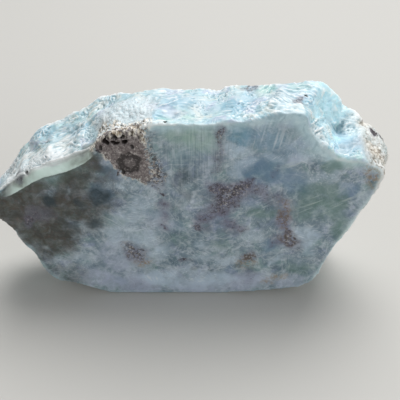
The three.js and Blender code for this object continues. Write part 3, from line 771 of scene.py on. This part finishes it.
# Cloudy patterns: size in millimetres, detail, roughness, distortion and a shift that sets it apart.
CLOUDS = {
    "veil": (7, 4, 0.55, 0.8, 0),
    "wisp": (2.8, 5, 0.6, 0.5, 0),
    "dusk": (3.6, 4, 0.6, 0.3, 20),
    "mottle": (1.3, 2, 0.55, 0, 0),
    "drift": (5, 4, 0.6, 0.6, 0),
    "shoal": (7, 3, 0.6, 0.6, 50),
    "fray": (2.4, 4, 0.6, 0.6, 0),
    "crust": (4, 5, 0.65, 0, 0),
    "patch": (9, 4, 0.6, 0, 0),
    "crumb": (1.2, 4, 0.7, 0, 0),
    "stained": (2, 5, 0.7, 0, 0),
    "speck": (0.9, 4, 0.75, 0.4, 0),
    "cream": (0.6, 3, 0.7, 0, 9),
    "clot": (1.3, 4, 0.65, 0, 0),
    "pepper": (0.5, 4, 0.75, 0.3, 40),
    "spark": (0.7, 3, 0.7, 0, 0),
    "tint": (5, 3, 0.5, 0.8, 70),
    "feather": (3.2, 4, 0.55, 1, 30),
    "tufts": (6, 3, 0.6, 0.5, 90),
    "net": (6, 3, 0.5, 1.2, 110),
    "gloss": (0.6, 2, 0.5, 0, 0),
    "frosting": (0.45, 3, 0.7, 0, 0),
}
# Fine lines in the sawn face: turn from level in degrees, length and width in millimetres.
LINES = {
    "saw": (90, 6, 0.35),  # left by the blade
    "needles": (27, 9, 0.7),  # fibres cut along their length
    "spray": (78, 7, 0.6),  # the same, in the fan at the upper right
}


# Patterns of small cells: their size along x, y and z.
CELL_PATTERNS = {"crumbs": (0.8, 0.8, 0.8), "teeth": (0.62, 0.9, 1.6)}
# Patterns made of two others: a share, how much it counts and what it is added to.
SUMS = {
    "dark specks": ("brown", 0.3, "speck"),
    "cream specks": ("brown", 0.2, "cream"),
    "bare": ("blue_and_shade", 0.5, "stained"),
}
# Patterns brought to new levels: the pattern, two of its levels and what they become.
LEVELS = {
    "edges": ("fray", 0.25, 0.6, 0.5, 1),
    "fibrous": ("tufts", 0.4, 0.6, 0.2, 1),
    "halo": ("clot", 0.46, 0.56, 0, 1),
    "toothed": ("tooth", 0.05, 0.4, 0, 1),
    "covered": ("bare", 0.86, 0.76, 0.4, 1),
    "rough": ("gloss", 0.3, 0.7, 0.35, 0.6),
    "inside": ("sawn", 0, 1, 0.45, 0.15),
}
# Coats of colour, laid one over another: colour, strength, the pattern it follows, the levels of that pattern
# where it starts and is full, and what else it keeps to.

# Sawn: clouds of pale and slate blue that seem to lie below the surface, with a web of white veins.
SAWN_COATS = [
    ("#a2b3bd", 1, "veil", 0.38, 0.62),
    ("#9ba6c4", 0.5, "tint", 0.52, 0.66),
    ("#6d938f", 0.5, "tint", 0.48, 0.34),
    ("#cbd6e0", 0.6, "wisp", 0.5, 0.75),
    ("#4f6c7d", 0.7, "dusk", 0.5, 0.68),
    ("#dbe5ec", 0.5, "feather", 0.54, 0.8),
    ("#3f5862", 0.5, "feather", 0.44, 0.28),
    ("#d8e0e4", 0.2, "mottle", 0.53, 0.75),
    ("#e3ebf0", 0.5, "web", 0.045, 0, "wisp"),
    ("#44606f", 0.45, "web", 0.12, 0.24, "dusk"),
    ("#dde5e9", 0.35, "streaks", 0.54, 0.7, "within"),
    ("#54676f", 0.35, "pepper", 0.47, 0.37),
    ("#ccd6da", 0.3, "spark", 0.56, 0.66),
]
# Broken: crushed fibres scatter white; paler edges are partly painted highlight, and hollows get painted
# shade.
BROKEN_COATS = [
    ("#a4cbd7", 1, "drift", 0.38, 0.7),
    ("#b4dad4", 0.6, "shoal", 0.5, 0.7),
    ("#ebe5d8", 0.5, "tint", 0.53, 0.66),
    ("#cccbe4", 0.5, "tint", 0.46, 0.34),
    # white, partly painted light on the left slope
    ("#fafcfb", 0.8, "white_and_light", 0, 1),
    # blue, partly painted shade on the broken top
    ("#8fc0d6", 0.7, "blue_and_shade", 0, 1),
    # green, partly painted shade in the scoop
    ("#a2cdb9", 0.7, "green_and_shade", 0, 1),
    ("#e4edef", 0.6, "fan", 0.4, 1),
    ("#f4f8f8", 0.8, "streaks", 0.5, 0.66, "fibrous", "within"),
    ("#84aebc", 0.42, "streaks", 0.48, 0.34, "fibrous", "within"),
    # pale ridges are partly painted highlight, darker hollows are painted shade
    ("#f6f9f9", 0.6, "ridge_and_hollow_shade", 0.06, 0.45),
    ("#7a9fac", 0.55, "ridge_and_hollow_shade", -0.06, -0.45),
    # painted highlight along the large crests, painted shade in the large hollows
    ("#fbfdfd", 0.5, "crest", 0.3, 1.2),
    ("#84adba", 0.5, "crest", -0.3, -1.2),
    ("#e9f2f5", 0.75, "crystals", 0, 0.8, "edges"),
    ("#8b8c92", 0.6, "pepper", 0.46, 0.38, "crystals"),
    # frosted, partly painted light
    ("#cdf3ff", 0.9, "frosted_and_lit", 0, 0.9, "edges"),
    ("#f4fdff", 0.7, "wisp", 0.5, 0.64, "frosted_and_lit"),
    ("#a6d3dc", 0.6, "feather", 0.46, 0.34, "frosted_and_lit"),
]
# Rind: a granular cream crust that weathering left.
RIND_COATS = [
    ("#e6e6e2", 1, "crust", 0.35, 0.65),
    ("#a9bfc4", 0.6, "patch", 0.45, 0.6),
    ("#8f8370", 0.5, "crumb", 0.52, 0.66),
    ("#6e5f4c", 0.7, "crumbs", 0.55, 0.85, "coarse"),
    ("#f4f3ee", 0.7, "crumbs", 0.4, 0.1, "coarse"),
    ("#b4bdb9", 0.6, "coarse", 0.6, 0, "edges"),
    ("#8f9f9f", 0.4, "feather", 0.46, 0.34),
    # darker hollows are painted shade, paler ridges partly painted highlight
    ("#7d6f60", 0.5, "ridge_and_hollow_shade", -0.05, -0.5),
    ("#f7f7f3", 0.5, "ridge_and_hollow_shade", 0.05, 0.5),
    ("#c5d6d8", 0.6, "blue_and_shade", 0, 1),
    ("#6b6056", 1, "stained", 0.4, 0.6, "stain"),
    # frosted, partly painted light
    ("#fbfaf6", 0.7, "frosted_and_lit", 0, 1),
]
# The minerals, some partly painted shade or light, painted light at the thin edge, the bevel, fibres, saw
# marks.
MINERAL_COATS = [
    # slate blue; on the broken top it is painted shade
    ("#5b809c", 0.85, "slate_and_shade", 0, 1, "edges"),
    ("#6fa3bd", 0.85, "blue_and_shade", 0, 1, "edges", "sawn"),
    ("#bfc8dc", 0.75, "lavender", 0, 1, "edges"),
    ("#c6d9e8", 0.8, "white_and_light", 0, 1, "edges", "sawn"),
    ("#a3c4b6", 0.85, "pale", 0, 1, "edges", "sawn"),
    # painted glow: pale colours that stand in for light through the thin edge of the sawn face
    ("#c6e2ea", 1, "glow", 0, 1.3, "sawn"),
    ("#d5e8ec", 0.5, "wisp", 0.5, 0.64, "glow", "sawn"),
    ("#86aab7", 0.6, "feather", 0.5, 0.38, "glow", "sawn"),
    # green, partly a painted shadow line at the bevel's foot
    ("#5d7f76", 0.75, "green_and_shade", 0, 1, "edges", "sawn"),
    # painted glow just inside the sawn face's thin edge
    ("#b4d4cc", 0.45, "painted_inner_glow", 0, 0.5, "sawn"),
    # dark olive, partly painted shade
    ("#2d2717", 0.95, "olive_and_shade", 0, 1, "edges"),
    ("#6f7368", 0.4, "feather", 0.5, 0.7, "olive_and_shade"),
    ("#1f2d2c", 0.6, "dusk", 0.48, 0.62, "olive_and_shade"),
    ("#453f31", 0.3, "olive_and_shade", 0, 1),
    ("#5c4a44", 0.5, "speck", 0.54, 0.64, "olive_and_shade"),
    # painted shadow line along the foot of the bevel, on the sawn face's side
    ("#3f5046", 0.6, "foot", 0.85, 0.6, "bevel", "edges"),
    ("#f6fdfb", 0.97, "foot", 0.56, 0.46, "bevel"),
    ("#d3f0e4", 0.6, "foot", 0.56, 0.46, "bevel", "mint"),
    ("#7b8276", 0.95, "dull", 0, 1.2, "edges"),
    ("#0f2c36", 0.95, "teal", 0, 1, "edges"),
    ("#a58a62", 0.7, "speck", 0.4, 0.56, "ochre"),
    ("#e4ebee", 0.6, "streaks", 0.5, 0.7, "white_and_light", "within", "sawn"),
    ("#cdd8da", 0.25, "saw lines", 0.52, 0.7, "sawmarks"),
    ("#4f676e", 0.3, "saw lines", 0.48, 0.3, "sawmarks"),
    ("#d5dee2", 0.55, "spray lines", 0.53, 0.68, "fibres"),
    ("#6a8796", 0.25, "spray lines", 0.46, 0.36, "fibres"),
    ("#c2cfcb", 0.5, "needles lines", 0.58, 0.72, "needles"),
]
# Dendrites: manganese specks that grew along cracks, with cream specks between them.
DENDRITE_COATS = [
    ("#727589", 0.75, "mauve", 0, 1, "edges"),
    ("#4a4350", 0.5, "clot", 0.48, 0.62, "mauve"),
    ("#b9b7c2", 0.5, "wisp", 0.52, 0.66, "mauve"),
    ("#6f6e84", 0.6, "brown", 0, 1, "edges"),
    ("#3b323d", 0.85, "dark specks", 0.66, 0.88),
    ("#c1b6b2", 0.6, "cream specks", 0.73, 0.87),
    ("#332a33", 0.95, "dabs", 0.27, 0.42),
    ("#9a8663", 0.4, "speck", 0.46, 0.58, "ochre", "sawn"),
]
# Basalt: grey-brown with light and dark grains, and its gas bubble.
BASALT_COATS = [
    ("#a39c9a", 0.9, "pepper", 0.48, 0.62),
    ("#3c3331", 0.9, "pepper", 0.47, 0.34),
    ("#5c5150", 0.6, "clot", 0.45, 0.62),
    ("#cfc8c2", 0.8, "spark", 0.57, 0.66),
    ("#2b2322", 0.8, "cream", 0.42, 0.32),
    ("#1f1919", 0.95, "clot", 0.24, 0.36, "ring"),
    ("#2a2120", 0.7, "ring", 0.55, 1),
    ("#8d8583", 0.6, "spark", 0.55, 0.62, "ring"),
]
# Where the pectolite meets the basalt: specks, and a pale seam.
CONTACT_COATS = [
    ("#2c2622", 0.9, "speck", 0.45, 0.53, "speckle"),
    ("#cbc6be", 0.85, "cream", 0.53, 0.6, "speckle"),
    ("#d5cec2", 0.85, "basalt", 0.8, 0.1, "sawn", "halo"),
]
# Painted shade in the holes, the crystals along the basalt's top and the painted highlight of the bright rim.
TOP_COATS = [
    # painted shade in the holes
    ("#1f1612", 1, "painted_hole_shade", 0.1, 0.5),
    ("#f2ebdd", 0.95, "teeth", 0.6, 0.3, "toothed"),
    ("#9b8560", 0.6, "clot", 0.5, 0.6, "toothed"),
    ("#2c201a", 0.9, "teeth", 0.5, 0.66, "toothed", "halo"),
    ("#8f867e", 0.7, "speck", 0.52, 0.62, "toothed"),
    ("#fffdf8", 0.8, "cream", 0.52, 0.62, "toothed"),
    ("#4a3c32", 0.7, "pepper", 0.42, 0.34, "toothed"),
    # painted highlight along the bright rim and the bevel's lip
    ("#f1f5f4", 0.9, "rim", 0, 1, "edges"),
]
WEB_LEVEL = 0.5  # level of the net along which the web of veins runs
BASALT_STRAY = (-10, 5)  # how the speck pattern moves the basalt's edge: for each of its levels, and in all
SPECKLE_REACH = 0.12  # how far specks of basalt reach past that edge
BASALT_EDGE = (0.08, -0.12)  # where the basalt starts and is full
BUMP = {"depth": 0.25, "strength": 0.8, "frosting": 0.6}  # finest relief, and the frosting's share in it
GLOW_DEPTH = 2  # how far light spreads inside


def larimar(painted):
    """Blue pectolite with basalt in it. Sawn it is matt and cloudy; broken it is white with bright fibres."""
    material = bpy.data.materials.new("larimar_pectolite")
    material.use_nodes = True
    tree = material.node_tree
    tree.nodes.clear()

    def add(kind, inputs, output=0, **settings):
        """Adds a shader node with its settings and links, and gives one of its outputs."""
        node = tree.nodes.new("ShaderNode" + kind)
        for name, value in settings.items():
            setattr(node, name, value)
        for key, value in inputs.items():
            if isinstance(value, bpy.types.NodeSocket):
                tree.links.new(value, node.inputs[key])
            else:
                node.inputs[key].default_value = value
        return node.outputs[output] if node.outputs else None

    def coated(base, coats):
        """Lays coats of colour over a base."""
        for colour, strength, pattern, start, end, *masks in coats:
            levels = {"Value": look[pattern], "From Min": start, "From Max": end, "To Max": strength}
            share = add("MapRange", levels, interpolation_type="SMOOTHSTEP")
            for mask in masks:
                share = add("Math", {0: share, 1: look[mask]}, operation="MULTIPLY")
            base = add("Mix", {0: share, 6: base, 7: linear(colour)}, 2, data_type="RGBA")
        return base

    look = {name: add("Attribute", {}, "Fac", attribute_name=name) for name in painted}
    places = add("Mapping", {"Vector": add("TexCoord", {}, "Object"), "Scale": (1 / MM,) * 3})
    for name, (size, detail, rough, distortion, shift) in CLOUDS.items():
        where = add("Mapping", {"Vector": places, "Location": (shift,) * 3})
        noise = {"Scale": 1 / size, "Detail": detail, "Roughness": rough, "Distortion": distortion}
        look[name] = add("TexNoise", {"Vector": where, **noise})
    for name, (turn, length, width) in LINES.items():
        turned = {"Vector": places, "Rotation": (0, -math.radians(turn), 0), "Scale": (length, 1, width)}
        where = add("Mapping", turned, vector_type="TEXTURE")
        look[name + " lines"] = add("TexNoise", {"Vector": where, "Scale": 1, "Detail": 1})
    fibre = add("Attribute", {}, "Vector", attribute_name="fibre")
    look["streaks"] = add("TexNoise", {"Vector": fibre, "Scale": 1, "Detail": 2})
    for name, sizes in CELL_PATTERNS.items():
        where = add("Mapping", {"Vector": places, "Scale": [1 / size for size in sizes]})
        look[name] = add("TexVoronoi", {"Vector": where, "Scale": 1}, "Distance")
    for name, (share, weight, pattern) in SUMS.items():
        look[name] = add("Math", {0: look[share], 1: weight, 2: look[pattern]}, operation="MULTIPLY_ADD")
    for name, (pattern, *levels) in LEVELS.items():
        mapped = dict(zip(("From Min", "From Max", "To Min", "To Max"), levels))
        look[name] = add("MapRange", {"Value": look[pattern], **mapped})
    web = add("Math", {0: look["net"], 1: WEB_LEVEL}, operation="SUBTRACT")
    look["web"] = add("Math", {0: web}, operation="ABSOLUTE")
    look["dabs"] = add("Math", {0: look["speck"], 1: look["spot"]}, operation="MULTIPLY")

    broken = coated(linear("#bdd8df"), BROKEN_COATS)
    rind = coated(linear("#dcd7cb"), RIND_COATS)
    sawn = coated(linear("#748a96"), SAWN_COATS)
    covered = add("Math", {0: look["rind"], 1: look["covered"]}, operation="MULTIPLY")
    base = add("Mix", {0: covered, 6: broken, 7: rind}, 2, data_type="RGBA")
    base = add("Mix", {0: look["sawn"], 6: base, 7: sawn}, 2, data_type="RGBA")
    base = coated(base, MINERAL_COATS + DENDRITE_COATS + CONTACT_COATS)

    slope, level = BASALT_STRAY
    stray = add("Math", {0: look["speck"], 1: slope, 2: level}, operation="MULTIPLY_ADD")
    reach = add("Math", {0: look["speckle"], 1: SPECKLE_REACH}, operation="ADD")
    outside = add("Math", {0: stray, 1: reach, 2: look["basalt"]}, operation="MULTIPLY_ADD")
    start, full = BASALT_EDGE
    cut = add("MapRange", {"Value": outside, "From Min": start, "From Max": full})
    basalt = coated(linear("#7a7170"), BASALT_COATS)
    base = coated(add("Mix", {0: cut, 6: base, 7: basalt}, 2, data_type="RGBA"), TOP_COATS)

    height = add("Math", {0: look["streaks"], 1: look["within"]}, operation="MULTIPLY")
    height = {0: look["frosting"], 1: BUMP["frosting"], 2: height}
    height = add("Math", height, operation="MULTIPLY_ADD")
    height = add("Math", {0: height, 1: look["frost"]}, operation="MULTIPLY")
    bump = add("Bump", {"Height": height, "Distance": BUMP["depth"] * MM, "Strength": BUMP["strength"]})
    shader = add("BsdfPrincipled", {
        "Base Color": base, "Roughness": look["rough"], "IOR": 1.6, "Normal": bump,
        "Subsurface Weight": look["inside"], "Subsurface Radius": (1, 1, 1),
        "Subsurface Scale": GLOW_DEPTH * MM,
    })
    add("OutputMaterial", {"Surface": shader})
    return material


def floor_paint():
    """Matt pale paint."""
    material = bpy.data.materials.new("matt_pale_paint")
    material.use_nodes = True
    shader = material.node_tree.nodes["Principled BSDF"]
    shader.inputs["Base Color"].default_value = linear("#c9c7c2")
    shader.inputs["Roughness"].default_value = 0.8
    return material


# -------- stage
FLOOR_HALF = 2  # metres
FLOOR_DROP = 0.05  # millimetres below the stone's foot
LIGHTS = {  # a wide light above and behind, and the room in front: place and width in metres, power in watts
    "window": ((0.12, 0.3, 0.78), 0.6, 7),
    "room": ((0.5, -0.6, 0.35), 0.7, 2.2),
}
LIT = (0, 0, 0.02)  # the place in metres that they point at
SKY = {"Color": "#e8ecf0", "Strength": 0.3}
SENSOR = 36  # millimetres
FOCAL = 615 / 400  # focal length in widths of the view
CAMERA_PLACE = (0, -114, 125.241)
CAMERA_DOWN = 39  # degrees below level


def floor():
    """Pale floor right under the stone."""
    mesh = bpy.data.meshes.new("floor")
    corners = [(x * FLOOR_HALF, y * FLOOR_HALF, 0) for x, y in ((-1, -1), (1, -1), (1, 1), (-1, 1))]
    mesh.from_pydata(corners, [], [(0, 1, 2, 3)])
    plane = bpy.data.objects.new("floor", mesh)
    plane.data.materials.append(floor_paint())
    bpy.context.scene.collection.objects.link(plane)
    plane.location.z = -FLOOR_DROP * MM


def lights():
    """Two soft lights and a pale sky."""
    for name, (place, size, power) in LIGHTS.items():
        lamp = bpy.data.lights.new(name, "AREA")
        lamp.size = size
        lamp.energy = power
        light = bpy.data.objects.new(name, lamp)
        light.location = place
        light.rotation_euler = Vector(np.subtract(LIT, place)).to_track_quat("-Z", "Y").to_euler()
        bpy.context.scene.collection.objects.link(light)
    world = bpy.data.worlds.new("studio")
    world.use_nodes = True
    background = world.node_tree.nodes["Background"]
    background.inputs["Color"].default_value = linear(SKY["Color"])
    background.inputs["Strength"].default_value = SKY["Strength"]
    bpy.context.scene.world = world


def camera():
    """Looks down at the sawn face from a little right of its middle."""
    lens = bpy.data.cameras.new("camera")
    lens.sensor_width = SENSOR
    lens.lens = SENSOR * FOCAL
    view = bpy.data.objects.new("camera", lens)
    view.location = (ORIGIN + CAMERA_PLACE) * MM
    view.rotation_euler = (math.radians(90 - CAMERA_DOWN), 0, 0)
    bpy.context.scene.collection.objects.link(view)
    bpy.context.scene.camera = view


stone = fine_copy(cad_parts["larimar"])
painted = cut_relief(stone.data)
stone.data.materials.append(larimar(painted))
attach(stone, "root")
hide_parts("larimar")
floor()
lights()
camera()
bpy.context.scene.view_settings.view_transform = "Standard"
